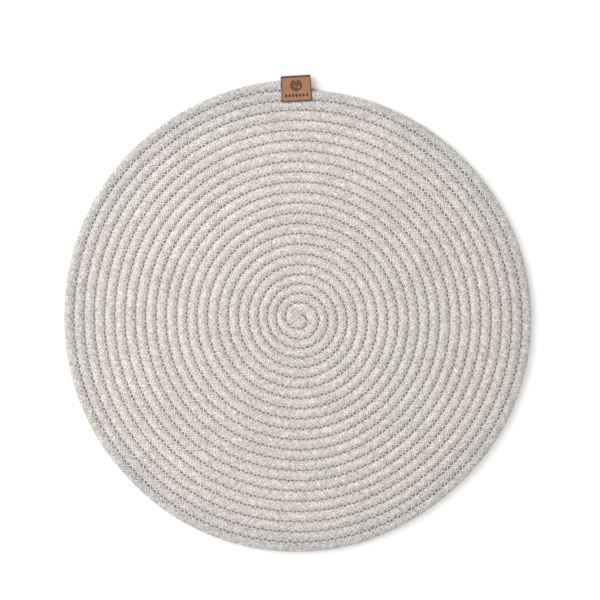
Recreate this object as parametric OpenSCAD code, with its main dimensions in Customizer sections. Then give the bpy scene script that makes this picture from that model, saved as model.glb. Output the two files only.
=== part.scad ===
// Round seat pad: one braided cord wound in a flat spiral, sewn turn to turn, with a folded leather tag.
// Millimetres. +Z is up and the pad lies on z = 0. +Y points at the tag.
// The origin is the middle of the coil, where the cord starts.

/* [Coil] */
// Full turns of the cord before its last half turn
turns = 22; // [5:1:30]
// Width of the cord
cord_width = 8.6; // [7.2:0.1:12]
// Space between neighbouring turns
turn_gap = 0.2; // [0.1:0.05:0.5]
// How far the underside of the cord is pressed flat
foot_depth = 0.4; // [0.2:0.1:0.8]
// Thickness of the braided sheath
sheath_wall = 1.8; // [1.5:0.1:2.4]
// Space round the filler yarns
core_gap = 0.1; // [0.05:0.05:0.3]
// Length of the tapered outer end of the cord
tail_length = 18; // [12:1:30]

/* [Seam] */
// Width of the zigzag across a groove
seam_width = 2.8; // [2:0.1:3.2]
// Thickness of the upper seam
needle_thick = 0.6; // [0.3:0.1:0.7]
// Thickness of the lower seam
bobbin_thick = 0.4; // [0.3:0.1:0.6]
// Space between thread and cord
thread_gap = 0.1; // [0.05:0.05:0.2]

/* [Tacks] */
// Length of each stitch row that crosses the middle
tack_length = 16; // [10:1:24]
// Width of a stitch row
tack_width = 0.8; // [0.5:0.1:1.5]
// Height of a stitch row
tack_height = 0.5; // [0.3:0.1:0.8]
// How far a stitch row is pulled into the cord
tack_depth = 0.4; // [0.2:0.1:0.6]
// Length of the close stitches on the outer end
end_tack_length = 9; // [5:1:11]

/* [Tag] */
// Width of the tag along the edge
tag_width = 25.5; // [15:0.5:40]
// Flat length of the upper flap
upper_flap = 18; // [13:0.5:30]
// Flat length of the lower flap
lower_flap = 16.6; // [12:0.2:30]
// Thickness of the leather
tag_thick = 0.9; // [0.6:0.1:1.1]
// Offset of the tag's middle from the end of the cord
tag_offset = -3.4; // [-5:0.1:0]
// Turn of the tag against the edge, in degrees
tag_turn = 3.5; // [0:0.5:6]
// Space between the fold and the flat of the outermost turn
fold_gap = 0.3; // [0.1:0.1:2]
// Space round the tag where it is pressed into the cord
seat_gap = 0.3; // [0.1:0.1:0.6]
// Thickness of the adhesive film
film_thick = 0.1; // [0.05:0.05:0.2]
// Width left free of adhesive round a flap
film_margin = 1; // [0.5:0.5:3]

/* [Hidden] */
$fn = 96;

section_fn = 40;
half_turns = 2 * turns + 1;
turn_pitch = cord_width + turn_gap;
half_pitch = turn_pitch / 2;
cord_r = cord_width / 2;
cord_z = cord_r - foot_depth;
cord_top = cord_z + cord_r;
bore_r = cord_r - sheath_wall;
core_r = bore_r - core_gap;
rim_r = half_turns * half_pitch;
rim_y = half_pitch + rim_r;

// The upper seam lies where the groove is just wide enough for it
needle_z = cord_z + sqrt(pow(cord_r, 2) - pow(half_pitch - seam_width / 2 - thread_gap, 2));

// The flaps are pressed into the cord: the lower one is flush with the foot, the upper one clears the seam
seat_low = tag_thick + film_thick;
seat_top = needle_z + needle_thick + thread_gap;

// The lower seam lies above the lower flap, as wide as the groove is there, in whole tenths
bobbin_z = seat_low + thread_gap;
bobbin_top = bobbin_z + bobbin_thick;
bobbin_room = half_pitch - sqrt(pow(cord_r, 2) - pow(cord_z - bobbin_top, 2)) - thread_gap;
bobbin_width = 2 * floor(10 * bobbin_room) / 10;

// The fold is a half ring between the two flaps
fold_inner_r = (seat_top + film_thick - tag_thick) / 2;
fold_outer_r = fold_inner_r + tag_thick;
flat_half = sqrt(pow(cord_r, 2) - pow(cord_z - seat_low, 2));
fold_y = flat_half + fold_gap;
tack_z = cord_top - tack_depth;
tail_angle = tail_length / rim_y * 180 / PI;
tail_slope = atan(cord_width / tail_length) + tail_angle / 2;
end_tack_angle = end_tack_length / (rim_y - half_pitch) * 180 / PI;
cut_size = 4 * cord_width;

// Section of the cord at a radius, filled or hollow, with its flat foot
module cord_section(radius, inner_r = 0) {
    translate([radius, cord_z]) difference() {
        circle(cord_r, $fn = section_fn);
        if (inner_r > 0) circle(inner_r, $fn = section_fn);
        translate([-cord_r, -cord_z - cord_width]) square(cord_width);
    }
}

// Puts a half turn in its place: odd ones on the left, even ones on the right, about two centres
module half_turn(index) {
    is_left = index % 2 == 1;
    translate([0, is_left ? half_pitch : 0, 0])
        rotate([0, 0, is_left ? 90 : -90])
            rotate_extrude(angle = 180) children();
}

// Stretch of the right-hand arcs that starts above the middle and runs clockwise
module right_stretch(angle) {
    rotate_extrude(angle = -angle, start = 90) children();
}

// Rectangle of a seam in the groove at a radius
module seam_section(radius, width, low, thick) {
    translate([radius - width / 2, low]) square([width, thick]);
}

// Puts a shape in the frame of the tag, whose origin is on the middle line of the outermost turn
module at_tag() {
    translate([tag_offset, rim_y, 0]) rotate([0, 0, tag_turn]) children();
}

// Blunt start of the cord in the middle of the coil
module cord_start() {
    rotate([0, 0, -90]) rotate_extrude(angle = 180)
        intersection() {
            cord_section(0);
            square([cord_r, cord_top]);
        }
}

// Outer end of the cord, which thins out against the turn inside it
module cord_tail() {
    difference() {
        right_stretch(tail_angle) cord_section(rim_y);
        translate([0, rim_y + cord_r, -cord_top]) rotate([0, 0, -tail_slope])
            cube([2 * tail_length, cut_size, 3 * cord_top]);
    }
}

// Room pressed into the cord by one flap of the tag, upwards from a height
module tag_seat(flap, low) {
    seat_width = tag_width + 2 * seat_gap;
    at_tag() translate([-seat_width / 2, fold_y - flap - seat_gap, low])
        cube([seat_width, flap + cut_size, cut_size]);
}

// The two stitch rows that cross the middle, with a space round them
module tack_rows(space = 0) {
    for (angle = [45, -45])
        translate([0, half_pitch, tack_z - space]) rotate([0, 0, angle])
            translate([-tack_length / 2 - space, -tack_width / 2 - space, 0])
                cube([tack_length + 2 * space, tack_width + 2 * space, tack_height + 2 * space]);
}

module cord_cover() {
    color("#cdc8c2") difference() {
        union() {
            for (index = [1 : half_turns])
                half_turn(index) cord_section(index * half_pitch, bore_r);
            cord_start();
            cord_tail();
        }
        tag_seat(upper_flap, seat_top);
        tag_seat(lower_flap, seat_low - cut_size);
        tack_rows(thread_gap);
    }
}

module cord_core() {
    color("#dedad3") for (index = [1 : half_turns])
        half_turn(index) translate([index * half_pitch, cord_z]) circle(core_r, $fn = section_fn);
}

module needle_thread() {
    color("#e4e0da") for (index = [1 : half_turns - 2])
        half_turn(index) seam_section((index + 1) * half_pitch, seam_width, needle_z, needle_thick);
}

module bobbin_thread() {
    color("#e4e0da") for (index = [1 : half_turns - 2])
        half_turn(index) seam_section((index + 1) * half_pitch, bobbin_width, bobbin_z, bobbin_thick);
}

module centre_tack() {
    color("#e4e0da") tack_rows();
}

module end_tack() {
    color("#e4e0da") {
        right_stretch(end_tack_angle) seam_section(rim_r, seam_width, needle_z, needle_thick);
        right_stretch(end_tack_angle) seam_section(rim_r, bobbin_width, bobbin_z, bobbin_thick);
    }
}

module leather_tag() {
    color("#ac7f61") at_tag() translate([-tag_width / 2, fold_y, 0])
        rotate([90, 0, 90]) linear_extrude(tag_width) {
            translate([-upper_flap, seat_top + film_thick]) square([upper_flap, tag_thick]);
            translate([-lower_flap, 0]) square([lower_flap, tag_thick]);
            translate([0, fold_outer_r]) difference() {
                circle(fold_outer_r);
                circle(fold_inner_r);
                translate([-cut_size, -cut_size / 2]) square(cut_size);
            }
        }
}

// Film of adhesive on the inside of one flap
module tag_film(flap, low) {
    film_width = tag_width - 2 * film_margin;
    at_tag() translate([-film_width / 2, fold_y - flap + film_margin, low])
        cube([film_width, flap - 2 * film_margin, film_thick]);
}

module tag_adhesive() {
    color("#e8dfc8") {
        tag_film(upper_flap, seat_top);
        tag_film(lower_flap, tag_thick);
    }
}

cord_cover();
cord_core();
needle_thread();
bobbin_thread();
centre_tack();
end_tack();
leather_tag();
tag_adhesive();
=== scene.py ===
"""Round seat pad of one braided cord, wound in a spiral and sewn turn to turn, with a folded leather tag."""

import math

import bpy
import numpy as np
from bpy.props import FloatProperty, FloatVectorProperty, IntProperty, PointerProperty
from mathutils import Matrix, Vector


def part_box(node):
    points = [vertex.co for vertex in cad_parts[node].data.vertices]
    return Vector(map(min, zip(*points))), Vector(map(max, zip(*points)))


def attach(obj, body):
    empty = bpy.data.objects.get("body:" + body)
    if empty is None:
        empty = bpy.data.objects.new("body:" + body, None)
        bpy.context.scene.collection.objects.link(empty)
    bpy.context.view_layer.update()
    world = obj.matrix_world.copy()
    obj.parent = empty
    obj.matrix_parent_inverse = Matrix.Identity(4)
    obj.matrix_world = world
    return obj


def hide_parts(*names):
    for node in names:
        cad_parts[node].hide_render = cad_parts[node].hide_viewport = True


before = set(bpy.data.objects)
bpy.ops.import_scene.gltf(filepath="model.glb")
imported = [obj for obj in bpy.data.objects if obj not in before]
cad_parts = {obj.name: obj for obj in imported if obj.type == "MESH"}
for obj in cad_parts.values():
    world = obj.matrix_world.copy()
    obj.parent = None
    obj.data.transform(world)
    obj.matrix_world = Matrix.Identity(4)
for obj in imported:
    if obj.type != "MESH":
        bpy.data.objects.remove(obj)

bl_info = {
    "name": "Coiled Seat Pad",
    "version": (1, 0, 0),
    "blender": (4, 5, 0),
    "location": "View3D > Sidebar > Seat Pad",
    "description": "Makes a round seat pad of coiled, braided cotton cord",
    "category": "Add Mesh",
}

MM = 0.001
PI = math.pi
BODY = "root"

# Mesh cells across one strand of the braid, and the seed of the strands' fullness.
CELLS = 3
SEED = 7

# Least height over the floor of the cord and the threads, and of the tag.
CLEARANCE = 0.02 * MM
TAG_CLEARANCE = 0.01 * MM

# How the turns stray: length of their waves, distance from the tag over which the waves set in, reach of the
# loose hook's swell and of the swell round it, and the angle over which the dent fades.
WAVE_LENGTH = 190 * MM
STEADY_REACH = 30 * MM
HOOK_REACH = 11 * MM
TURNS_REACH = 24 * MM
DENT_REACH = 0.42

# The coil as the design holds it: half turns about two centres that lie half a pitch apart on the Y axis.
COVER_LOW, COVER_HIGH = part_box("cord_cover")
HALF_PITCH = COVER_HIGH.y + COVER_LOW.x
HALF_TURNS = math.floor(-COVER_LOW.x / HALF_PITCH)
RIM_R = HALF_TURNS * HALF_PITCH
CORD_R = -COVER_LOW.x - RIM_R
CORD_Z = COVER_HIGH.z - CORD_R
RIM_Y = HALF_PITCH + RIM_R
CORD_LENGTH = PI * HALF_PITCH * HALF_TURNS * (HALF_TURNS + 1) / 2
SEAM_LENGTH = PI * HALF_PITCH * (HALF_TURNS - 2) * (HALF_TURNS + 1) / 2

# The tag as the design holds it.
TAG_LOW, TAG_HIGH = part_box("leather_tag")
FILM_LOW, FILM_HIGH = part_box("tag_adhesive")
FILM_THICK = 0.1 * MM
TAG_THICK = FILM_LOW.z
SEAT_LOW = TAG_THICK + FILM_THICK
SEAT_TOP = FILM_HIGH.z - FILM_THICK
FOLD_R = (TAG_HIGH.z - TAG_THICK) / 2


# ---------------------------------------------------------------- sizes and colours

class CordSizes(bpy.types.PropertyGroup):
    strands: IntProperty(
        name="Strands each way", description="Strands that wind each way round the cord", default=8,
        min=6, max=16)
    lay: FloatProperty(
        name="Lay", description="Length of cord in which a strand goes once round", default=22 * MM,
        unit="LENGTH")
    relief: FloatProperty(
        name="Relief", description="Depth of the valleys between strands", default=0.9 * MM, unit="LENGTH")
    unevenness: FloatProperty(
        name="Unevenness", description="How much the strands differ in fullness", default=0.24,
        subtype="FACTOR")
    roll: FloatProperty(
        name="Roll", description="How far the cord rolls to and fro along its length",
        default=math.radians(24), subtype="ANGLE")
    waver: FloatProperty(
        name="Waver", description="How far the turns stray from true arcs", default=0.3 * MM, unit="LENGTH")
    dent: FloatProperty(
        name="Dent", description="How far the edge is pressed in at the front right", default=3.4 * MM,
        unit="LENGTH")
    dent_angle: FloatProperty(
        name="Dent angle", description="Direction of the dent from the middle", default=math.radians(-55),
        subtype="ANGLE")
    hook_swell: FloatProperty(
        name="Hook swell", description="How much wider the first hook lies than true arcs", default=0.42,
        subtype="FACTOR")
    turns_swell: FloatProperty(
        name="Swell round the hook", default=0.2, subtype="FACTOR",
        description="How much wider the turns next to the hook lie than true arcs")
    hook_shift: FloatProperty(
        name="Hook shift", description="How far the first hook lies to the left of the middle",
        default=1 * MM, unit="LENGTH")
    hook_fold: FloatProperty(
        name="Hook fold", description="Depth of the fold between the two sides of the first hook",
        default=1.6 * MM, unit="LENGTH")
    hole_depth: FloatProperty(
        name="Needle hole depth", description="How deep each stitch pulls in the cord", default=0.55 * MM,
        unit="LENGTH")
    tail: FloatProperty(
        name="Tail", description="Length over which the outer end thins out", default=18 * MM, unit="LENGTH")
    yarn: FloatVectorProperty(
        name="Yarn", description="Colour of the cotton", subtype="COLOR", default=(0.636, 0.598, 0.556))
    # Painted shade: the colour laid deep between strands, in needle holes and in the hook's fold; random
    # clumps and heather darken towards it too.
    shade: FloatVectorProperty(
        name="Between strands", description="Colour deep between strands", subtype="COLOR",
        default=(0.23, 0.21, 0.185))


class ThreadSizes(bpy.types.PropertyGroup):
    radius: FloatProperty(
        name="Radius", description="Radius of the sewing thread", default=0.33 * MM, unit="LENGTH")
    reach: FloatProperty(
        name="Reach", description="How far a stitch reaches to each side of a groove", default=1.9 * MM,
        unit="LENGTH")
    advance: FloatProperty(
        name="Advance", description="Distance along the groove from one stitch to the next",
        default=3.6 * MM, unit="LENGTH")
    colour: FloatVectorProperty(
        name="Thread", description="Colour of the sewing thread", subtype="COLOR",
        default=(0.80, 0.77, 0.725))


class TagSizes(bpy.types.PropertyGroup):
    width: FloatProperty(
        name="Width", description="Width of the tag along the edge", default=25.5 * MM, unit="LENGTH")
    upper_flap: FloatProperty(
        name="Upper flap", description="Flat length of the upper flap", default=18 * MM, unit="LENGTH")
    lower_flap: FloatProperty(
        name="Lower flap", description="Flat length of the lower flap", default=16.6 * MM, unit="LENGTH")
    turn: FloatProperty(
        name="Turn", description="Turn of the tag against the edge", default=math.radians(3.5),
        subtype="ANGLE")
    leather: FloatVectorProperty(
        name="Leather", description="Colour of the leather's face", subtype="COLOR",
        default=(0.285, 0.138, 0.070))
    # Also the colour of the painted shade round the fold.
    burnt: FloatVectorProperty(
        name="Burnt edge", description="Colour of the burnt edges and of the engraving", subtype="COLOR",
        default=(0.065, 0.028, 0.018))


class StageSizes(bpy.types.PropertyGroup):
    view_width: FloatProperty(
        name="View width", description="Width of the floor that the camera sees", default=514 * MM,
        unit="LENGTH")
    camera_height: FloatProperty(
        name="Camera height", description="Height of the camera over the pad", default=2.4, unit="LENGTH")
    aim: FloatVectorProperty(
        name="Aim", description="Point of the floor under the camera", subtype="XYZ", unit="LENGTH",
        default=(0.0, 18.3 * MM, 0.0))
    floor: FloatVectorProperty(
        name="Floor", description="Colour of the floor", subtype="COLOR", default=(0.98, 0.98, 0.98))


class SeatPadSettings(bpy.types.PropertyGroup):
    cord: PointerProperty(name="Cord", description="Sizes and colours of the cord", type=CordSizes)
    thread: PointerProperty(name="Thread", description="Sizes and colour of the thread", type=ThreadSizes)
    tag: PointerProperty(name="Tag", description="Sizes and colours of the leather tag", type=TagSizes)
    stage: PointerProperty(name="Stage", description="The camera's view and the floor", type=StageSizes)


def settings():
    """The sizes and colours in use."""
    return bpy.context.scene.seat_pad


# ---------------------------------------------------------------- lines that the cord and seams follow

def smooth_step(low, high, value):
    """0 below low and 1 above high, with a smooth rise between."""
    t = np.clip((value - low) / (high - low), 0.0, 1.0)
    return t * t * (3.0 - 2.0 * t)


def half_turn_places(index, swept, radius):
    """Places and outward directions on half turns: odd ones on the left and even ones on the right."""
    is_left = index % 2 == 1
    angle = np.where(is_left, -PI / 2, PI / 2) - swept
    outward = np.stack([np.cos(angle), np.sin(angle)], axis=-1)
    centre = np.stack([np.zeros_like(radius), np.where(is_left, HALF_PITCH, 0.0)], axis=-1)
    return centre + radius[..., None] * outward, outward


def cord_line(along):
    """Middle of the cord at distances from its start, the outward direction there, and the half turn."""
    turns = np.maximum(along, 0.0) / (PI * HALF_PITCH)
    index = np.floor(0.5 + np.sqrt(0.25 + 2.0 * turns))
    radius = index * HALF_PITCH
    begun = PI * HALF_PITCH * index * (index - 1) / 2
    places, outward = half_turn_places(index, (np.maximum(along, 0.0) - begun) / radius, radius)
    places[..., 0] -= np.minimum(along, 0.0)
    return places, outward, index


def groove_start(index):
    """Distance along the seam at which its half turn starts."""
    return PI * HALF_PITCH * (index - 1) * (index + 2) / 2


def groove_line(along):
    """Middle of the groove at distances from the start of the seam, and the outward direction there."""
    index = np.floor(np.sqrt(2.25 + 2.0 * along / (PI * HALF_PITCH)) - 0.5)
    radius = (index + 1) * HALF_PITCH
    return half_turn_places(index, (along - groove_start(index)) / radius, radius)


def tag_places(places):
    """Places in the frame of the tag: across it, and outwards from the middle of the outermost turn."""
    turn = settings().tag.turn
    x = places[..., 0] - tag_middle()
    y = places[..., 1] - RIM_Y
    return (x * math.cos(turn) + y * math.sin(turn), y * math.cos(turn) - x * math.sin(turn))


def tag_middle():
    """Where the middle of the tag crosses the outermost turn."""
    middle = (TAG_LOW + TAG_HIGH) / 2
    return middle.x + (middle.y - RIM_Y) * math.tan(settings().tag.turn)


def fold_start():
    """Distance from the middle of the outermost turn to the start of the tag's fold."""
    tag = settings().tag
    reach = TAG_HIGH.y - RIM_Y - 0.5 * tag.width * math.sin(tag.turn)
    return reach / math.cos(tag.turn) - FOLD_R - TAG_THICK / 2


def under_tag(places, margin=0.6 * MM):
    """1 where the flaps of the tag press on the cord and 0 away from them."""
    tag = settings().tag
    across, out = tag_places(places)
    inner = fold_start() - tag.upper_flap
    return (1 - smooth_step(tag.width / 2, tag.width / 2 + margin, np.abs(across))) * smooth_step(
        inner - margin, inner, out)


def relaxed(points):
    """Points of the coil, shifted as real turns lie: a slow waver, a loose first hook and a dented edge."""
    cord = settings().cord
    x, y = points[..., 0], points[..., 1]
    away = 1 - under_tag(points, STEADY_REACH)
    wave = 2 * PI / WAVE_LENGTH
    shift_x = np.sin(0.83 * wave * y + 0.7) + 0.6 * np.sin(wave * (x + 0.45 * y) + 2.1)
    shift_y = np.sin(0.91 * wave * x + 1.9) + 0.6 * np.sin(wave * (0.6 * x - y) + 0.4)
    from_hook = x ** 2 + (y - HALF_PITCH / 2) ** 2
    near_turns = np.exp(-from_hook / TURNS_REACH ** 2)
    swell = cord.hook_swell * np.exp(-from_hook / HOOK_REACH ** 2) + cord.turns_swell * near_turns
    share_along_y = 0.8
    out = points.copy()
    reach = np.hypot(x, y)
    from_dent = np.mod(np.arctan2(y, x) - cord.dent_angle + PI, 2 * PI) - PI
    dent = cord.dent * reach / RIM_R ** 2 * np.exp(-(from_dent / DENT_REACH) ** 2)
    out[..., 0] += cord.waver * away * shift_x + swell * x - cord.hook_shift * near_turns - dent * x
    out[..., 1] += cord.waver * away * shift_y + share_along_y * swell * (y - HALF_PITCH / 2) - dent * y
    return out


def in_hook_fold(points):
    """1 in the short upright fold between the two sides of the first hook, and 0 away from it."""
    x, y = points[..., 0], points[..., 1]
    leftwards, half_width = 5.2 * MM, 1.25 * MM
    bow, bow_middle = 0.03, 7
    from_fold = x + leftwards - bow * (y / MM - bow_middle) ** 2 * MM
    ends = smooth_step(0.5 * MM, 4 * MM, y) * (1 - smooth_step(9.5 * MM, 12 * MM, y))
    return np.exp(-(from_fold / half_width) ** 2) * ends


# ---------------------------------------------------------------- meshes

def new_piece(name, points, faces, replaced):
    """A smooth mesh piece that rides on the pad, in place of CAD nodes. faces is a list of index arrays."""
    mesh = bpy.data.meshes.new(name)
    corners = np.concatenate([f.reshape(-1) for f in faces]).astype(np.int32)
    sizes = np.concatenate([np.full(len(f), f.shape[1]) for f in faces])
    starts = np.concatenate([[0], np.cumsum(sizes)[:-1]]).astype(np.int32)
    mesh.vertices.add(len(points))
    mesh.vertices.foreach_set("co", points.astype(np.float32).reshape(-1))
    mesh.loops.add(len(corners))
    mesh.loops.foreach_set("vertex_index", corners)
    mesh.polygons.add(len(sizes))
    mesh.polygons.foreach_set("loop_start", starts)
    mesh.update(calc_edges=True)
    mesh.polygons.foreach_set("use_smooth", np.ones(len(sizes), bool))
    if mesh.validate(verbose=False):
        raise RuntimeError(f"{name}: the mesh held faults")
    piece = bpy.data.objects.new(name, mesh)
    bpy.context.scene.collection.objects.link(piece)
    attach(piece, BODY)
    if replaced:
        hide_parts(*replaced)
    return piece


def add_corner_map(piece, name, values):
    """A UV map from one pair of numbers for each corner."""
    layer = piece.data.uv_layers.new(name=name, do_init=False)
    layer.uv.foreach_set("vector", values.astype(np.float32).reshape(-1))


def add_point_value(piece, name, values):
    """A number on each point, for a material to read."""
    attribute = piece.data.attributes.new(name, "FLOAT", "POINT")
    attribute.data.foreach_set("value", values.astype(np.float32))


def tube_faces(rings, sides):
    """Faces of a closed tube whose points lie in rings: its walls and its two ends."""
    place = np.arange(sides)[None, :]
    a = np.arange(rings - 1)[:, None] * sides + place
    b = np.arange(rings - 1)[:, None] * sides + (place + 1) % sides
    walls = np.stack([a, b, b + sides, a + sides], axis=-1).reshape(-1, 4)
    return [walls, place[:, ::-1], (rings - 1) * sides + place]


def tube(line, radius, sides, lobes=0, lobe_depth=0.0, twist=0.0):
    """Points, faces and corner map of a closed tube along a line of points. It may have twisted lobes.

    The map holds how far round the tube a corner lies, from 0 to 1, and its distance along the tube.
    """
    forward = np.gradient(line, axis=0)
    forward /= np.linalg.norm(forward, axis=1, keepdims=True)
    side = np.cross(forward, [0.0, 0.0, 1.0])
    side /= np.maximum(np.linalg.norm(side, axis=1, keepdims=True), 1e-9)
    up = np.cross(forward, side)
    turn = np.arange(sides) * 2 * PI / sides
    steps = np.concatenate([[0.0], np.cumsum(np.linalg.norm(np.diff(line, axis=0), axis=1))])
    size = radius * (1 + lobe_depth * np.cos(lobes * turn[None, :] + twist * steps[:, None]))
    rings = (line[:, None, :] + size[..., None] * (
        np.cos(turn)[None, :, None] * side[:, None, :] + np.sin(turn)[None, :, None] * up[:, None, :]))
    count = len(line)
    round_at = (np.arange(sides)[:, None] + np.array([0, 1, 1, 0])) / sides
    along_at = steps[np.arange(count - 1)[:, None] + np.array([0, 0, 1, 1])]
    places = np.empty((count - 1, sides, 4, 2))
    places[..., 0] = round_at[None, :, :]
    places[..., 1] = along_at[:, None, :]
    ends = [np.column_stack([np.arange(sides)[::way] / sides, np.full(sides, at)])
            for way, at in ((-1, steps[0]), (1, steps[-1]))]
    places = np.concatenate([places.reshape(-1, 2)] + ends)
    return rings.reshape(-1, 3), tube_faces(count, sides), places


def joined(shapes):
    """One tube's points, faces and corner map from those of several."""
    points, faces, places, offset = [], [], [], 0
    for part_points, part_faces, part_places in shapes:
        points.append(part_points)
        faces += [f + offset for f in part_faces]
        places.append(part_places)
        offset += len(part_points)
    return np.concatenate(points), faces, np.concatenate(places)


def new_tubes(name, shape, replaced, finish):
    """A piece made of tubes, with the map that its finish reads."""
    points, faces, places = shape
    piece = new_piece(name, points, faces, [replaced])
    add_corner_map(piece, "Twist", places)
    piece.data.materials.append(finish())
    return piece


def add_flat_rows(piece, places, sides, girth):
    """A map for baking a long tube: flat rows that fill a square, and one more row for its two ends."""
    walls = places[:-2 * sides].reshape(-1, 4, 2)
    starts = walls[:, :1, 1]
    length = walls[..., 1].max()
    rows = math.ceil(math.sqrt(length / girth))
    row = np.minimum(np.floor(starts / length * rows), rows - 1)
    longest = (walls[:, 2:3, 1] - starts).max()
    u = (walls[..., 1] - row * length / rows) / (length / rows + longest)
    v = row + 0.04 + 0.92 * walls[..., 0]
    turn = 2 * PI * places[-2 * sides:, 0]
    end = np.repeat([0.5, 1.5], sides)
    u = np.concatenate([u.reshape(-1), (end + 0.4 * np.cos(turn)) / (rows + 1)])
    v = np.concatenate([v.reshape(-1), rows + 0.5 + 0.4 * np.sin(turn)])
    add_corner_map(piece, "OFBake", np.column_stack([0.001 + 0.998 * u, v / (rows + 1)]))


# ---------------------------------------------------------------- the braided cord

def braid_height(first, second):
    """Height of a braid whose strands float over two and under two, from 0 in a valley to 1 on a crown."""
    cord = settings().cord
    fullness = np.random.default_rng(SEED).normal(0.0, cord.unevenness, (2, cord.strands, 4096))

    def strand(family, across_at, along_at, phase):
        number = np.floor(across_at)
        crown = np.sqrt(np.clip(1 - (2 * (across_at - number) - 1) ** 2, 0, 1))
        step = along_at + number + phase
        lump = fullness[family, number.astype(int) % cord.strands, np.floor(step / 4).astype(int) % 4096]
        return 0.68 * crown * (1 + lump) + 0.32 * np.cos(PI / 2 * (np.mod(step, 4.0) - 1))

    total = 0.0
    nudge = 0.03
    for a, b in ((-nudge, -nudge), (-nudge, nudge), (nudge, -nudge), (nudge, nudge)):
        total = total + np.maximum(
            strand(0, first + a, second + b, 0.0), strand(1, second + b, first + a, -2.0))
    return np.minimum(total / 4, 1.0)


def cord_section(turn, height, index, tail):
    """Offsets outwards and upwards round the cord, which its neighbours, the seam and the floor press on."""
    cord = settings().cord
    c, s = np.cos(turn), np.sin(turn)
    has_outer = index <= HALF_TURNS - 2
    # A neighbour presses the side flat, up to the groove between them.
    pressed = smooth_step(0.80, 0.99, np.abs(c)) * np.where((c > 0) & ~has_outer, 0.0, 1.0)
    depth = cord.relief * (1 - 0.8 * pressed) * (1 - height)
    wide = (CORD_R + (HALF_PITCH - CORD_R) * pressed) * np.sign(c) * np.abs(c) ** 0.92
    tall = CORD_R * np.sign(s) * np.abs(s) ** 0.96
    keep = 1 - depth / CORD_R
    out = wide * keep
    up = tall * keep
    # The outer end thins out against the turn inside it.
    out = np.where(tail > 0, -CORD_R + (out + CORD_R) * (1 - tail), out)
    up = up * (1 - 0.45 * tail)
    return out, up


def pressed_flat(points):
    """Points of the cord, pressed by the floor and by the flaps of the tag."""
    lift, give = 0.55 * MM, 0.58
    z = points[..., 2]
    z = np.where(z < lift, lift - (lift - z) * give, z)
    under = under_tag(points)
    z = np.where(z > SEAT_TOP, z - under * (z - SEAT_TOP), z)
    z = np.where(z < SEAT_LOW, z + under * (SEAT_LOW - z), z)
    points[..., 2] = np.maximum(z, CLEARANCE)
    return points


def stitch_marks(out, along, index, turn):
    """How far the seams mark the cord at each point: at needle holes, and in the gaps between stitches."""
    thread = settings().thread
    out_radius = (index + 1) * HALF_PITCH
    swept = (along - PI * HALF_PITCH * index * (index - 1) / 2) / (index * HALF_PITCH)
    outer = groove_start(index) + out_radius * swept
    inner = groove_start(index - 2) + (index - 1) * HALF_PITCH * swept
    marks = np.zeros(np.broadcast(out, along).shape)
    hole_radius = 0.85 * MM
    for seam, side, shift, sewn in (
        (outer, 1.0, 1.0, (index >= 1) & (index <= HALF_TURNS - 2)),
        (inner, -1.0, 0.0, index >= 3),
    ):
        period = 2 * thread.advance
        from_hole = np.mod(seam - shift * thread.advance + period / 2, period) - period / 2
        from_side = out * side - (HALF_PITCH - thread.reach)
        hole = np.exp(-(from_hole ** 2 + from_side ** 2) / hole_radius ** 2)
        flank = smooth_step(0.68, 0.95, np.cos(turn) * side)
        gap = flank * (0.5 + 0.5 * np.cos(2 * PI * seam / thread.advance))
        marks = marks + np.where(sewn, 0.6 * hole + gap, 0.0)
    return np.minimum(marks, 1.0)


def braid_faces(rings, per_ring):
    """Diamonds between the strands' crossings, triangles at both ends and a fan to a hub on each end."""
    n = np.arange(rings - 2)[:, None]
    j = np.arange(per_ring)[None, :]
    odd = n % 2
    here = n * per_ring + j
    right = (n + 1) * per_ring + (j + odd) % per_ring
    left = (n + 1) * per_ring + (j + odd - 1) % per_ring
    beyond = here + 2 * per_ring
    around = np.arange(per_ring)
    ahead = (around + 1) % per_ring
    last, before = (rings - 1) * per_ring, (rings - 2) * per_ring
    beside = around if rings % 2 == 1 else ahead
    hub_start = np.full(per_ring, rings * per_ring)
    return [
        np.stack([right, beyond, left, here], axis=-1).reshape(-1, 4),
        np.stack([ahead, per_ring + around, around], axis=-1),
        np.stack([before + beside, last + ahead, last + around], axis=-1),
        np.stack([ahead, around, hub_start], axis=-1),
        np.stack([last + around, last + ahead, hub_start + 1], axis=-1),
    ]


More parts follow.
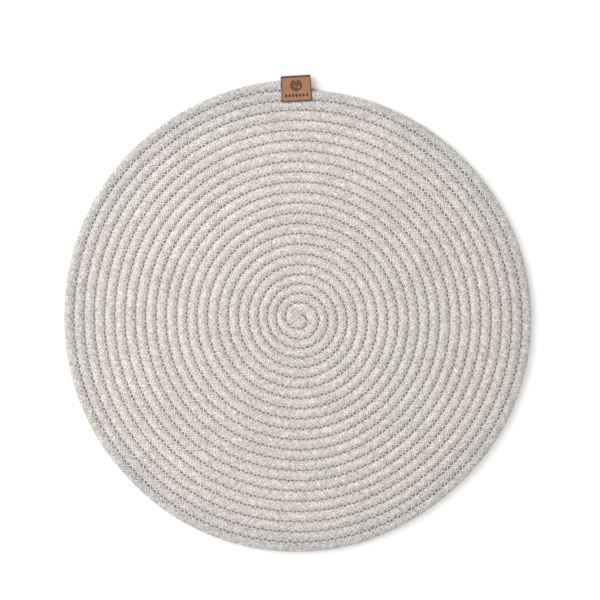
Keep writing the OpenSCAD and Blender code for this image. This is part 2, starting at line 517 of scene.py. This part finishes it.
class SEATPAD_OT_cord_cover(bpy.types.Operator):
    """Make the braided cotton sheath of the cord, wound in its spiral"""

    bl_idname = "seatpad.cord_cover"
    bl_label = "Braided Cord"

    def execute(self, context):
        cord = settings().cord
        per_ring = CELLS * cord.strands
        places_round = 2 * per_ring
        ring_step = cord.lay / places_round
        start_cap = CORD_R
        # The thinned end stops short of its point, which would be a thorn.
        tail_share, thinnest = 0.84, 0.93
        rings = int((start_cap + CORD_LENGTH + tail_share * cord.tail) / ring_step)
        ring = np.arange(rings)
        along = -start_cap + ring * ring_step
        place = 2 * np.arange(per_ring)[None, :] + (ring % 2)[:, None]
        roll = cord.roll * (np.sin(along / (31 * MM)) + 0.7 * np.sin(along / (12.7 * MM) + 1.0))
        turn = 2 * PI * place / places_round + roll[:, None]
        first = (place - ring[:, None]) / (2 * CELLS)
        second = (place + ring[:, None]) / (2 * CELLS)
        height = braid_height(first, second)

        middle, outward, index = cord_line(along)
        index = index[:, None]
        tail = np.clip((along - CORD_LENGTH) / cord.tail, 0, thinnest)[:, None]
        cap = np.sqrt(np.clip(1 - (np.minimum(along, 0) / start_cap) ** 2, 0.03, 1))[:, None]
        out, up = cord_section(turn, height, index, tail)
        out, up = out * cap, up * cap
        marks = stitch_marks(out, along[:, None], index, turn)
        up = up * (1 - cord.hole_depth / CORD_R * marks)
        points = np.empty((rings, per_ring, 3))
        points[..., :2] = middle[:, None, :] + out[..., None] * outward[:, None, :]
        points[..., 2] = CORD_Z + up
        points = relaxed(pressed_flat(points))
        fold = in_hook_fold(points) * smooth_step(0.0, CORD_R / 2, up)
        points[..., 2] -= cord.hook_fold * fold
        # Painted shade: the hook's crease joins the marks only to darken the colour there.
        marks = np.maximum(marks, 0.6 * fold)
        points = points.reshape(-1, 3)

        faces = braid_faces(rings, per_ring)
        hubs = np.stack([points[:per_ring].mean(0), points[-per_ring:].mean(0)])
        points = np.concatenate([points, hubs])
        piece = new_piece("cord_cover_braid", points, faces, ["cord_cover"])

        lay, flat = zip(*(self.corner_maps(face, ring_step, per_ring, rings) for face in faces))
        add_corner_map(piece, "Lay", np.concatenate(lay))
        add_corner_map(piece, "OFBake", np.concatenate(flat))
        rim = np.repeat(smooth_step(RIM_R - 30 * MM, RIM_R + 6 * MM, np.hypot(*(middle.T))), per_ring)
        add_point_value(piece, "rim", np.concatenate([rim, rim[[0, -1]]]))
        # Painted shade: the cotton is darkened a little towards the front right, where the light falls off.
        painted_falloff = smooth_step(-RIM_R, RIM_R, 0.85 * points[:, 0] - 0.5 * points[:, 1])
        add_point_value(piece, "painted_falloff", painted_falloff)
        # Besides denting the cord, the marks darken its colour: painted shade in the needle holes, between
        # stitches and in the hook's fold.
        add_point_value(piece, "marks", np.concatenate([marks.reshape(-1), [0.0, 0.0]]))
        piece.data.materials.append(cotton_braid())
        return {"FINISHED"}

    @staticmethod
    def corner_maps(face, ring_step, per_ring, rings):
        """Two maps of each corner: the lay of the strands there, and the cord laid out flat for baking.

        Places round the cord don't wrap within a face. Flat, two half turns fill one row, so that the rows
        fill a square.
        """
        places_round = 2 * per_ring
        hub = face >= rings * per_ring
        ring = np.where(hub, np.where(face == rings * per_ring, 0, rings - 1), face // per_ring)
        place = 2 * (face % per_ring) + ring % 2
        place = np.where(hub, place[:, 1:2], place)
        place = place + places_round * np.round((place[:, 1:2] - place) / places_round)
        lay = np.stack([place - ring, place + ring], axis=-1).reshape(-1, 2) / (2 * CELLS)

        rows = HALF_TURNS // 2 + 2
        row_length = CORD_LENGTH / (rows - 1) * 1.02
        along = ring * ring_step
        low = place.min(axis=1, keepdims=True)
        row = np.floor(along.min(axis=1, keepdims=True) / row_length)
        u = (along - row * row_length) / (row_length * 1.01)
        v = (row + 0.02 + 0.9 * (place - places_round * np.floor(low / places_round)) / (places_round + 4))
        return lay, np.stack([0.002 + 0.99 * u, v / (rows + 1)], axis=-1).reshape(-1, 2)


class SEATPAD_OT_cord_core(bpy.types.Operator):
    """Make the bundle of filler yarns inside the sheath"""

    bl_idname = "seatpad.cord_core"
    bl_label = "Filler Yarns"

    def execute(self, context):
        step = 3 * MM
        along = np.linspace(0, CORD_LENGTH, int(CORD_LENGTH / step))
        middle, _, _ = cord_line(along)
        line = relaxed(np.column_stack([middle, np.full(len(middle), CORD_Z)]))
        low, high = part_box("cord_core")
        radius = (high.z - low.z) / 2 * 0.94
        sides = 14
        shape = tube(line, radius, sides, lobes=7, lobe_depth=0.06, twist=2 * PI / (60 * MM))
        piece = new_tubes("cord_core_yarns", shape, "cord_core", filler_yarn)
        add_flat_rows(piece, shape[2], sides, 2 * PI * radius)
        return {"FINISHED"}


# ---------------------------------------------------------------- seams and tacks

def zigzag(start, end, advance, line_at, is_upper):
    """Line of one thread that crosses a groove with each stitch and goes down a needle hole after it."""
    thread = settings().thread
    stitches = int((end - start) / advance)
    part = np.array([0.0, 0.06, 0.18, 0.34, 0.5, 0.66, 0.82, 0.94])
    number = np.repeat(np.arange(stitches), len(part))
    t = np.tile(part, stitches)
    along = start + (number + t) * advance
    side = np.where(number % 2 == 0, 1.0, -1.0) * (1 - 2 * t) * thread.reach
    centre, outward = line_at(along)
    # Height of the cords' surface at this distance from the groove, bridged over the groove itself.
    from_cord = HALF_PITCH - np.maximum(np.abs(side), 0.62 * thread.reach)
    surface = np.sqrt(CORD_R ** 2 - from_cord ** 2)
    sag = 0.25 * MM * (1 - (side / thread.reach) ** 2)
    dip = np.interp(t, [0, 0.06, 0.18, 0.82, 0.94, 1], [-1.5, -0.35, 0.12, 0.12, -0.35, -1.5])
    rise = surface - sag + dip * MM
    z = CORD_Z + (rise if is_upper else -rise)
    return np.column_stack([centre + side[:, None] * outward, z])


def between_flaps(line, under):
    """Heights of a thread's line, off the floor and, where it passes under the tag, between the flaps."""
    radius = settings().thread.radius
    z = np.maximum(line[:, 2], radius + CLEARANCE)
    z -= under * np.maximum(z - (SEAT_TOP - radius), 0.0)
    return z + under * np.maximum(SEAT_LOW + radius - z, 0.0)


class SEATPAD_OT_seams(bpy.types.Operator):
    """Make the two threads of the zigzag seam between the turns"""

    bl_idname = "seatpad.seams"
    bl_label = "Zigzag Seam"

    def execute(self, context):
        thread = settings().thread
        sides = 6
        for name, node, is_upper in (
            ("needle_thread_zigzag", "needle_thread", True),
            ("bobbin_thread_zigzag", "bobbin_thread", False),
        ):
            line = zigzag(0.0, SEAM_LENGTH, thread.advance, groove_line, is_upper)
            line[:, 2] = between_flaps(line, under_tag(line))
            shape = tube(relaxed(line), thread.radius, sides)
            piece = new_tubes(name, shape, node, sewing_thread)
            add_flat_rows(piece, shape[2], sides, 2 * PI * thread.radius)
        return {"FINISHED"}


class SEATPAD_OT_tacks(bpy.types.Operator):
    """Make the crossed stitches in the middle and the close stitches on the outer end"""

    bl_idname = "seatpad.tacks"
    bl_label = "Tacks"

    def execute(self, context):
        radius = settings().thread.radius
        rows = []
        row_length, stitches = 16 * MM, 4
        part = np.array([0.0, 0.08, 0.22, 0.5, 0.78, 0.92])
        rise = np.array([-1.6, -0.5, 0.1, 0.16, 0.1, -0.5]) * MM
        for angle in (PI / 4, -PI / 4):
            t = (np.repeat(np.arange(stitches), len(part)) + np.tile(part, stitches)) / stitches - 0.5
            way = np.array([math.cos(angle), math.sin(angle)])
            flat = np.array([0.0, HALF_PITCH]) + row_length * t[:, None] * way
            z = COVER_HIGH.z - 0.1 * MM + np.tile(rise, stitches)
            rows.append(tube(relaxed(np.column_stack([flat, z])), radius, 8))
        new_tubes("centre_tack_cross", joined(rows), "centre_tack", sewing_thread)

        tack_start, tack_end, advance = 0.3 * MM, 9 * MM, 0.9 * MM
        rows = []
        for is_upper in (True, False):
            line = zigzag(tack_start, tack_end, advance, self.end_groove, is_upper)
            line[:, 2] = between_flaps(line, under_tag(line))
            rows.append(tube(relaxed(line), radius, 6))
        new_tubes("end_tack_stitches", joined(rows), "end_tack", sewing_thread)
        return {"FINISHED"}

    @staticmethod
    def end_groove(along):
        """Line on the rim where the cord's outer end thins out, and the outward direction there."""
        return half_turn_places(np.full(len(along), 2), along / RIM_R, np.full(len(along), RIM_R))


# ---------------------------------------------------------------- the leather tag

def tag_profile(step):
    """Middle line of the folded strip: out, up, direction across the leather, flat distance and length."""
    tag = settings().tag
    start = fold_start()
    length = tag.upper_flap + PI * FOLD_R + tag.lower_flap
    flat = np.concatenate([
        np.arange(0, tag.upper_flap + PI * FOLD_R, step),
        np.linspace(tag.upper_flap + PI * FOLD_R, length, 24)])
    upper_z, lower_z = TAG_HIGH.z - TAG_THICK / 2, TAG_THICK / 2
    angle = np.clip((flat - tag.upper_flap) / FOLD_R, 0, PI)
    out = np.where(
        flat < tag.upper_flap, start - tag.upper_flap + flat,
        np.where(flat > tag.upper_flap + PI * FOLD_R, start - (flat - tag.upper_flap - PI * FOLD_R),
                 start + FOLD_R * np.sin(angle)))
    up = (upper_z + lower_z) / 2 + FOLD_R * np.cos(angle)
    return out, up, np.column_stack([np.sin(angle), np.cos(angle)]), flat, length


def emblem_mask(across, down):
    """1 on the engraved figure: an open coil of three rings over a row of small diamonds."""
    line, centre = 0.52 * MM, 8.7 * MM
    x, y = across, down - centre
    radius, angle = np.hypot(x, y), np.arctan2(y, x)
    mask = np.zeros(np.broadcast(x, y).shape)
    for ring, gap in ((1.2 * MM, 0.6), (2.9 * MM, 2.6), (4.5 * MM, -1.5)):
        off = np.abs(np.mod(angle - gap + PI, 2 * PI) - PI)
        on_line = 1 - smooth_step(line * 0.8, line * 1.4, np.abs(radius - ring))
        mask = np.maximum(mask, on_line * smooth_step(0.30, 0.42, off))
    pitch, count = 3.0 * MM, 7
    row_at, half_width, half_height = 17.3 * MM, 1.3 * MM, 1.9 * MM
    from_diamond = np.mod(x + pitch / 2, pitch) - pitch / 2
    diamond = np.abs(from_diamond) / half_width + np.abs(down - row_at) / half_height
    row = (1 - smooth_step(0.8, 1.1, diamond)) * (np.abs(x) < pitch * count / 2)
    return np.maximum(mask, row)


class SEATPAD_OT_leather_tag(bpy.types.Operator):
    """Make the leather strip that is folded over the edge, with its burnt edges and engraving"""

    bl_idname = "seatpad.leather_tag"
    bl_label = "Leather Tag"

    def execute(self, context):
        tag = settings().tag
        out, up, across_leather, flat, length = tag_profile(0.22 * MM)
        half = tag.width / 2
        edge_r, engraving_depth = 0.22 * MM, 0.16 * MM
        face_across = np.linspace(-half + edge_r, half - edge_r, 112)
        bevel = np.linspace(0, PI / 2, 4)[1:]
        thick = TAG_THICK / 2
        # Once round the strip: the outer face, one edge, the inner face and the other edge.
        outer = [(a, thick) for a in face_across]
        edge = [(half - edge_r + edge_r * math.sin(b), thick - edge_r + edge_r * math.cos(b)) for b in bevel]
        loop = outer + edge + [(a, -z) for a, z in edge[::-1]]
        loop += [(a, -thick) for a in np.linspace(half - edge_r, -half + edge_r, 24)]
        loop += [(-a, -z) for a, z in edge] + [(-a, z) for a, z in edge[::-1]]
        loop = np.array(loop)
        across = np.broadcast_to(loop[:, 0], (len(out), len(loop)))
        off = np.broadcast_to(loop[:, 1], (len(out), len(loop))).copy()

        # The face is engraved as far as the start of the fold. The edges shrink where they are burnt.
        is_face = np.arange(len(loop))[None, :] < len(face_across)
        mask = emblem_mask(-across, tag.upper_flap + FOLD_R + TAG_THICK / 2 - flat[:, None])
        seen = flat[:, None] < tag.upper_flap + 0.5 * FOLD_R
        engraved = np.where(is_face & seen, mask, 0.0)
        off -= engraving_depth * engraved
        near_end = np.minimum(flat, length - flat)[:, None]
        near_edge = np.minimum(half - np.abs(across), near_end)
        thin = np.exp(-near_edge / (0.5 * MM)) * 0.22
        off = off * (1 - thin)
        ripple = 0.05 * MM * (np.sin(across / (3.1 * MM) + 4 * flat[:, None] / (17 * MM))
                              + np.sin(flat[:, None] / (2.3 * MM) - across / (5.9 * MM)))
        edge_wave = 0.10 * MM * (np.sin(flat / (1.9 * MM)) + 0.7 * np.sin(flat / (0.83 * MM) + 1.0))[:, None]
        is_edge = np.abs(across) > half - 1.2 * edge_r
        across = across + np.where(is_edge, edge_wave * np.sign(across) * 0.5, 0.0)

        points = np.empty(across.shape + (3,))
        reach = out[:, None] + off * across_leather[:, :1]
        turn = tag.turn
        points[..., 0] = tag_middle() + across * math.cos(turn) - reach * math.sin(turn)
        points[..., 1] = RIM_Y + across * math.sin(turn) + reach * math.cos(turn)
        points[..., 2] = up[:, None] + (off + ripple) * across_leather[:, 1:]
        points[..., 2] = np.maximum(points[..., 2], TAG_CLEARANCE)

        faces = tube_faces(*across.shape)
        piece = new_piece("leather_tag_strip", points.reshape(-1, 3), faces, ["leather_tag"])
        along_strip = np.broadcast_to(flat[:, None], across.shape) / length
        place = np.stack([across / tag.width + 0.5, along_strip], axis=-1).reshape(-1, 2)
        add_corner_map(piece, "Flat", np.concatenate([place[f.reshape(-1)] for f in faces]))
        add_point_value(piece, "engraved", engraved.reshape(-1))
        # Painted shade: the outer face is darkened round the rounded fold, and carried in the same value as
        # the burnt edges.
        bend = np.abs((flat - tag.upper_flap) / FOLD_R - PI / 2)[:, None]
        fold_painted_shade = is_face * (1 - smooth_step(0.85, 1.2, bend)) * 0.8
        edge_share = np.exp(-near_edge / (0.95 * MM))
        add_point_value(piece, "burnt", np.maximum(edge_share, fold_painted_shade).reshape(-1))
        piece.data.materials.append(tag_leather())
        return {"FINISHED"}


class SEATPAD_OT_adhesive(bpy.types.Operator):
    """Finish the adhesive film under the flaps of the tag"""

    bl_idname = "seatpad.adhesive"
    bl_label = "Adhesive"

    def execute(self, context):
        film = bpy.data.objects["tag_adhesive"]
        film.data.materials.clear()
        film.data.materials.append(adhesive_film())
        return {"FINISHED"}


# ---------------------------------------------------------------- finishes

class Value:
    """A socket of a material, on which expressions add Math nodes."""

    def __init__(self, finish, socket):
        self.finish, self.socket = finish, socket

    def maths(self, operation, *others):
        """A Math node on this value and others, which are values or numbers."""
        return self.finish.node("ShaderNodeMath", {"operation": operation}, dict(enumerate((self, *others))))

    def __add__(self, other):
        return self.maths("ADD", other)

    def __sub__(self, other):
        return self.maths("SUBTRACT", other)

    def __mul__(self, other):
        return self.maths("MULTIPLY", other)

    def __mod__(self, other):
        return self.maths("FLOORED_MODULO", other)

    def __lt__(self, other):
        return self.maths("LESS_THAN", other)

    def __rsub__(self, other):
        return self.finish.node("ShaderNodeMath", {"operation": "SUBTRACT"}, {0: other, 1: self})

    def __abs__(self):
        return self.maths("ABSOLUTE")

    __radd__ = __add__
    __rmul__ = __mul__

    def floor(self):
        return self.maths("FLOOR")

    def fraction(self):
        return self.maths("FRACT")

    def sine(self):
        return self.maths("SINE")

    def between(self, low, high):
        """0 below low and 1 above high, with a smooth rise between."""
        return self.finish.node(
            "ShaderNodeMapRange", {"interpolation_type": "SMOOTHSTEP"},
            {"Value": self, "From Min": low, "From Max": high})


class Finish:
    """A material and the nodes in it."""

    def __init__(self, name, **constants):
        self.material = bpy.data.materials.new(name)
        self.material.use_nodes = True
        self.tree = self.material.node_tree
        self.shader = self.tree.nodes["Principled BSDF"]
        for socket, value in constants.items():
            self.shader.inputs[socket.replace("_", " ")].default_value = value

    def node(self, kind, options=None, values=None, output=0):
        """Adds a node: its options are set first, then its sockets are filled or linked."""
        made = self.tree.nodes.new(kind)
        for option, value in (options or {}).items():
            setattr(made, option, value)
        for socket, value in (values or {}).items():
            self.fill(made.inputs[socket], value)
        return Value(self, made.outputs[output])

    def fill(self, socket, value):
        """Links a value to a socket, or sets a number or colour on it."""
        if isinstance(value, Value):
            self.tree.links.new(value.socket, socket)
        elif socket.type == "RGBA" and len(value) == 3:
            socket.default_value = (*value, 1.0)
        else:
            socket.default_value = value

    def point_value(self, name):
        return self.node("ShaderNodeAttribute", {"attribute_name": name}, output="Fac")

    def corner_map(self, name):
        """The two numbers of a corner map."""
        place = self.node("ShaderNodeUVMap", {"uv_map": name})
        x = self.node("ShaderNodeSeparateXYZ", None, {0: place}, "X")
        y = Value(self, x.socket.node.outputs["Y"])
        return x, y

    def place(self):
        return self.node("ShaderNodeTexCoord", output="Object")

    def noise(self, scale, detail=2.0, roughness=0.5, vector=None):
        vector = vector or self.place()
        return self.node(
            "ShaderNodeTexNoise", None,
            {"Vector": vector, "Scale": scale, "Detail": detail, "Roughness": roughness}, "Fac")

    def mix(self, share, first, second, blend="MIX"):
        """Two colours mixed by a share from 0 to 1."""
        made = self.node("ShaderNodeMix", {"data_type": "RGBA", "blend_type": blend}, {0: share}, 2)
        self.fill(made.socket.node.inputs[6], first)
        self.fill(made.socket.node.inputs[7], second)
        return made

    def combine(self, x, y, z=0.0):
        return self.node("ShaderNodeCombineXYZ", None, {0: x, 1: y, 2: z})

    def bump(self, height, distance, strength=1.0):
        return self.node(
            "ShaderNodeBump", None, {"Height": height, "Distance": distance, "Strength": strength})

    def finish(self, **sockets):
        """Fills the shader's sockets that vary, and gives the material."""
        for socket, value in sockets.items():
            self.fill(self.shader.inputs[socket.replace("_", " ")], value)
        return self.material


def cotton_braid():
    """Greige cotton: each strand has its own tone and a twist of plies, and fibres stand off it."""
    cord = settings().cord
    cotton = Finish(
        "cotton_braid", Roughness=0.92, Sheen_Weight=0.25, Sheen_Roughness=0.6, Specular_IOR_Level=0.2)
    first, second = cotton.corner_map("Lay")
    number_1, number_2 = first.floor(), second.floor()
    is_first = ((number_1 + number_2) % 4.0) < 2.0
    across = is_first * first.fraction() + (1 - is_first) * second.fraction()
    run = is_first * second + (1 - is_first) * first
    count = float(cord.strands)
    strand = is_first * (number_1 % count) + (1 - is_first) * (number_2 % count + count)
    float_part = is_first * ((second + number_1) % 4.0) + (1 - is_first) * ((first + number_2 - 2.0) % 4.0)
    from_middle = abs(across * 2.0 - 1.0)
    from_float_middle = abs(float_part - 1.0)
    # Painted shade: the colour darkens in the valleys between strands and where a strand dips under the one
    # it crosses; the bump uses the same valleys.
    valley = from_middle.between(0.45, 1.0) * 0.85 + from_float_middle.between(0.55, 1.0) * 0.45
    valley_noise = cotton.noise(75.0, 2.0).between(0.36, 0.64)
    valley = valley * (0.75 + valley_noise * 0.25)
    plies = (across * 15.0 + run * 5.2).sine() * 0.5 + 0.5

    tone = cotton.node("ShaderNodeTexWhiteNoise", {"noise_dimensions": "1D"}, {"W": strand + 0.37}, "Value")
    stretch = cotton.noise(1.0, 3.0, vector=cotton.combine(run * 0.55, strand * 3.1))
    clumps = cotton.noise(330.0, 2.0)
    heather = cotton.noise(760.0, 1.0)
    float_tone = cotton.node(
        "ShaderNodeTexWhiteNoise", {"noise_dimensions": "2D"},
        {"Vector": cotton.combine(number_1, number_2)}, "Value")
    patches = cotton.noise(24.0, 2.0)
    hue = cotton.noise(15.0, 1.0)
    flecks = cotton.noise(1500.0, 2.0).between(0.66, 0.72)
    light = (tone - 0.5) * 0.16 + (stretch - 0.5) * 0.32 + (clumps - 0.5) * 0.42 + (patches - 0.5) * 0.16
    # The plies term is painted shade in the grooves between plies.
    light = light + (heather - 0.5) * 1.1 + (float_tone - 0.5) * 0.18 + (plies - 0.5) * 0.12
    rim = cotton.point_value("rim")
    # The outer turns are a little darker, and painted shade darkens the front right.
    light = light - rim * 0.10 - cotton.point_value("painted_falloff") * 0.085
    yarn = cotton.mix(rim, tuple(cord.yarn), (0.58, 0.553, 0.535))
    yarn = cotton.mix((1 - hue.between(0.36, 0.50)) * 0.6, yarn, (0.65, 0.594, 0.565))
    yarn = cotton.mix(hue.between(0.52, 0.66) * 0.25, yarn, (0.63, 0.617, 0.56))
    brightness = cotton.combine(light + 1.0, light + 1.0, light + 1.0)
    yarn = cotton.mix(1.0, yarn, brightness, "MULTIPLY")
    # Painted shade in the valleys, needle holes and hook fold, plus random darker clumps and heather, mixed
    # towards the colour between strands.
    depth = valley * 0.85 + cotton.point_value("marks") * 0.34 + (0.5 - clumps) * 0.6 + (0.5 - heather) * 1.2
    colour = cotton.mix(depth.between(0.15, 1.3), yarn, tuple(cord.shade))
    colour = cotton.mix(flecks * 0.35, colour, (0.30, 0.25, 0.20))

    fibres = cotton.noise(2600.0, 3.0, 0.65)
    height = (1 - valley) * 0.9 + plies * 0.28 + fibres * 0.35 + clumps * 0.5
    return cotton.finish(Base_Color=colour, Normal=cotton.bump(height, 0.3 * MM, 0.65))


def filler_yarn():
    """Loose cotton yarns that run along the cord."""
    yarn = Finish("filler_yarn", Roughness=0.95, Sheen_Weight=0.3)
    round_at, along = yarn.corner_map("Twist")
    yarns = ((round_at * 14.0 + along * 25.0) * 2 * PI).sine() * 0.5 + 0.5
    fine = yarn.noise(900.0, 3.0)
    slow = yarn.noise(40.0, 2.0)
    colour = yarn.mix(fine.between(0.3, 0.7), (0.70, 0.66, 0.60), (0.84, 0.81, 0.76))
    colour = yarn.mix(slow * 0.3, colour, (0.66, 0.61, 0.53))
    # Painted shade in the grooves between yarns.
    colour = yarn.mix((1 - yarns) * 0.5, colour, (0.40, 0.36, 0.30))
    return yarn.finish(Base_Color=colour, Normal=yarn.bump(yarns + fine * 0.5, 0.3 * MM))


def sewing_thread():
    """Spun thread of three plies, with lint and a little dust on it.

    These nodes aren't used: the frame brings a plain material of this name, and the pieces take that one.
    """
    name = "sewing_thread"
    if name in bpy.data.materials:
        return bpy.data.materials[name]
    colour = tuple(settings().thread.colour)
    thread = Finish(name, Roughness=0.62, Sheen_Weight=0.2, Specular_IOR_Level=0.35)
    round_at, along = thread.corner_map("Twist")
    plies = ((round_at * 3.0 + along * 900.0) * 2 * PI).sine() * 0.5 + 0.5
    lint = thread.noise(3200.0, 1.5)
    dust = thread.noise(70.0, 2.0)
    # Painted shade: the thread is darker in the grooves between plies.
    shade = thread.mix(plies.between(0.05, 0.7), tuple(0.55 * c for c in colour), colour)
    shade = thread.mix(lint.between(0.5, 0.8) * 0.3, shade, (0.70, 0.66, 0.60))
    shade = thread.mix(dust * 0.25, shade, (0.62, 0.58, 0.52))
    return thread.finish(Base_Color=shade, Normal=thread.bump(plies + lint * 0.3, 0.16 * MM, 0.9))


def tag_leather():
    """Smooth tan leather with fine grain, burnt edges and a burnt engraving."""
    tag = settings().tag
    leather = Finish("tag_leather", Specular_IOR_Level=0.35)
    across, along = leather.corner_map("Flat")
    grain = leather.node(
        "ShaderNodeTexVoronoi", {"feature": "DISTANCE_TO_EDGE"},
        {"Vector": leather.place(), "Scale": 1900.0}, "Distance")
    pores = leather.noise(5200.0, 2.0)
    cloud = leather.noise(160.0, 4.0, 0.6)
    streaks = leather.noise(5.0, 4.0, 0.6, leather.combine(across * 12.0, along * 3.0))
    light = tuple(min(1.0, 1.3 * c) for c in tag.leather)
    dark = tuple(0.72 * c for c in tag.leather)
    colour = leather.mix(cloud.between(0.3, 0.7), tuple(tag.leather), light)
    colour = leather.mix(streaks.between(0.45, 0.75) * 0.5, colour, dark)
    colour = leather.mix((1 - grain.between(0.0, 0.12)) * 0.25, colour, dark)
    # Dark at the burnt edges and, as painted shade, round the fold; the cloud makes it uneven.
    scorch_and_fold_shade = leather.point_value("burnt") + (cloud - 0.5) * 0.35
    colour = leather.mix(scorch_and_fold_shade.between(0.18, 0.75), colour, tuple(tag.burnt))
    colour = leather.mix(leather.point_value("engraved").between(0.15, 0.6) * 0.96, colour, tuple(tag.burnt))
    height = grain.between(0.0, 0.2) * 0.6 + pores * 0.3 + cloud * 0.6
    rough = 0.52 + cloud * 0.14 + leather.point_value("engraved") * 0.25
    return leather.finish(Base_Color=colour, Roughness=rough, Normal=leather.bump(height, 0.07 * MM, 0.6))


def adhesive_film():
    """Thin dried contact adhesive with small bubbles."""
    film = Finish("adhesive_film", Specular_IOR_Level=0.5)
    bubbles = film.node("ShaderNodeTexVoronoi", None, {"Vector": film.place(), "Scale": 900.0}, "Distance")
    cloud = film.noise(200.0, 3.0)
    colour = film.mix(cloud, (0.80, 0.74, 0.60), (0.66, 0.58, 0.42))
    rough = 0.3 + bubbles * 0.3
    return film.finish(Base_Color=colour, Roughness=rough, Normal=film.bump(bubbles, 0.05 * MM))


def studio_floor():
    """Matt pale paper."""
    paper = Finish("studio_floor", Roughness=0.95, Specular_IOR_Level=0.1)
    fine = paper.noise(60.0, 2.0)
    shade = tuple(0.985 * c for c in settings().stage.floor)
    return paper.finish(Base_Color=paper.mix(fine, shade, tuple(settings().stage.floor)))


# ---------------------------------------------------------------- stage

FLOOR_REACH = 4.0
DAYLIGHT = 0.86

# Name, place, size in metres and power in watts.
LIGHTS = (
    ("key_light", (-1.5, 0.6, 1.35), 2.0, 33.0),
    ("fill_light", (1.6, -0.6, 2.4), 2.4, 4.0),
)


class SEATPAD_OT_stage(bpy.types.Operator):
    """Make the floor, the studio lights and the camera straight above the pad"""

    bl_idname = "seatpad.stage"
    bl_label = "Stage"

    def execute(self, context):
        scene = bpy.context.scene
        stage = settings().stage
        mesh = bpy.data.meshes.new("floor")
        corners = [(x * FLOOR_REACH, y * FLOOR_REACH, 0) for x, y in ((-1, -1), (1, -1), (1, 1), (-1, 1))]
        mesh.from_pydata(corners, [], [(0, 1, 2, 3)])
        mesh.materials.append(studio_floor())
        floor = bpy.data.objects.new("floor", mesh)
        scene.collection.objects.link(floor)

        world = bpy.data.worlds.new("studio")
        world.use_nodes = True
        background = world.node_tree.nodes["Background"]
        background.inputs["Color"].default_value = (1.0, 1.0, 1.0, 1.0)
        background.inputs["Strength"].default_value = DAYLIGHT
        scene.world = world
        for name, place, size, power in LIGHTS:
            light = bpy.data.lights.new(name, "AREA")
            light.size, light.energy = size, power
            lamp = bpy.data.objects.new(name, light)
            lamp.location = place
            aim = -lamp.location.normalized()
            lamp.rotation_euler = aim.to_track_quat("-Z", "Y").to_euler()
            scene.collection.objects.link(lamp)

        lens = bpy.data.cameras.new("camera")
        lens.sensor_width = 36.0
        lens.lens = lens.sensor_width * stage.camera_height / stage.view_width
        lens.clip_end = 20.0
        camera = bpy.data.objects.new("camera", lens)
        camera.location = (stage.aim[0], stage.aim[1], stage.camera_height)
        scene.collection.objects.link(camera)
        scene.camera = camera
        scene.view_settings.view_transform = "Standard"
        scene.view_settings.look = "None"
        return {"FINISHED"}


class SEATPAD_PT_panel(bpy.types.Panel):
    """Sizes, colours and pieces of the seat pad"""

    bl_idname = "SEATPAD_PT_panel"
    bl_label = "Coiled Seat Pad"
    bl_space_type = "VIEW_3D"
    bl_region_type = "UI"
    bl_category = "Seat Pad"

    def draw(self, context):
        pad = context.scene.seat_pad
        for title, group, operators in (
            ("Cord", pad.cord, ("seatpad.cord_cover", "seatpad.cord_core")),
            ("Thread", pad.thread, ("seatpad.seams", "seatpad.tacks")),
            ("Tag", pad.tag, ("seatpad.leather_tag", "seatpad.adhesive")),
            ("Stage", pad.stage, ("seatpad.stage",)),
        ):
            box = self.layout.box()
            box.label(text=title)
            for name in group.bl_rna.properties.keys():
                if name not in {"rna_type", "name"}:
                    box.prop(group, name)
            for operator in operators:
                box.operator(operator)


CLASSES = (
    CordSizes, ThreadSizes, TagSizes, StageSizes, SeatPadSettings,
    SEATPAD_OT_cord_cover, SEATPAD_OT_cord_core, SEATPAD_OT_seams, SEATPAD_OT_tacks,
    SEATPAD_OT_leather_tag, SEATPAD_OT_adhesive, SEATPAD_OT_stage, SEATPAD_PT_panel,
)


def register():
    for one in CLASSES:
        bpy.utils.register_class(one)
    bpy.types.Scene.seat_pad = PointerProperty(
        name="Seat Pad", description="Sizes and colours of the seat pad", type=SeatPadSettings)


def unregister():
    del bpy.types.Scene.seat_pad
    for one in reversed(CLASSES):
        bpy.utils.unregister_class(one)


def main():
    """Make the whole scene."""
    register()
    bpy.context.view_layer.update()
    bpy.ops.seatpad.stage()
    bpy.ops.seatpad.cord_cover()
    bpy.ops.seatpad.cord_core()
    bpy.ops.seatpad.seams()
    bpy.ops.seatpad.tacks()
    bpy.ops.seatpad.leather_tag()
    bpy.ops.seatpad.adhesive()


if __name__ == "__main__":
    main()
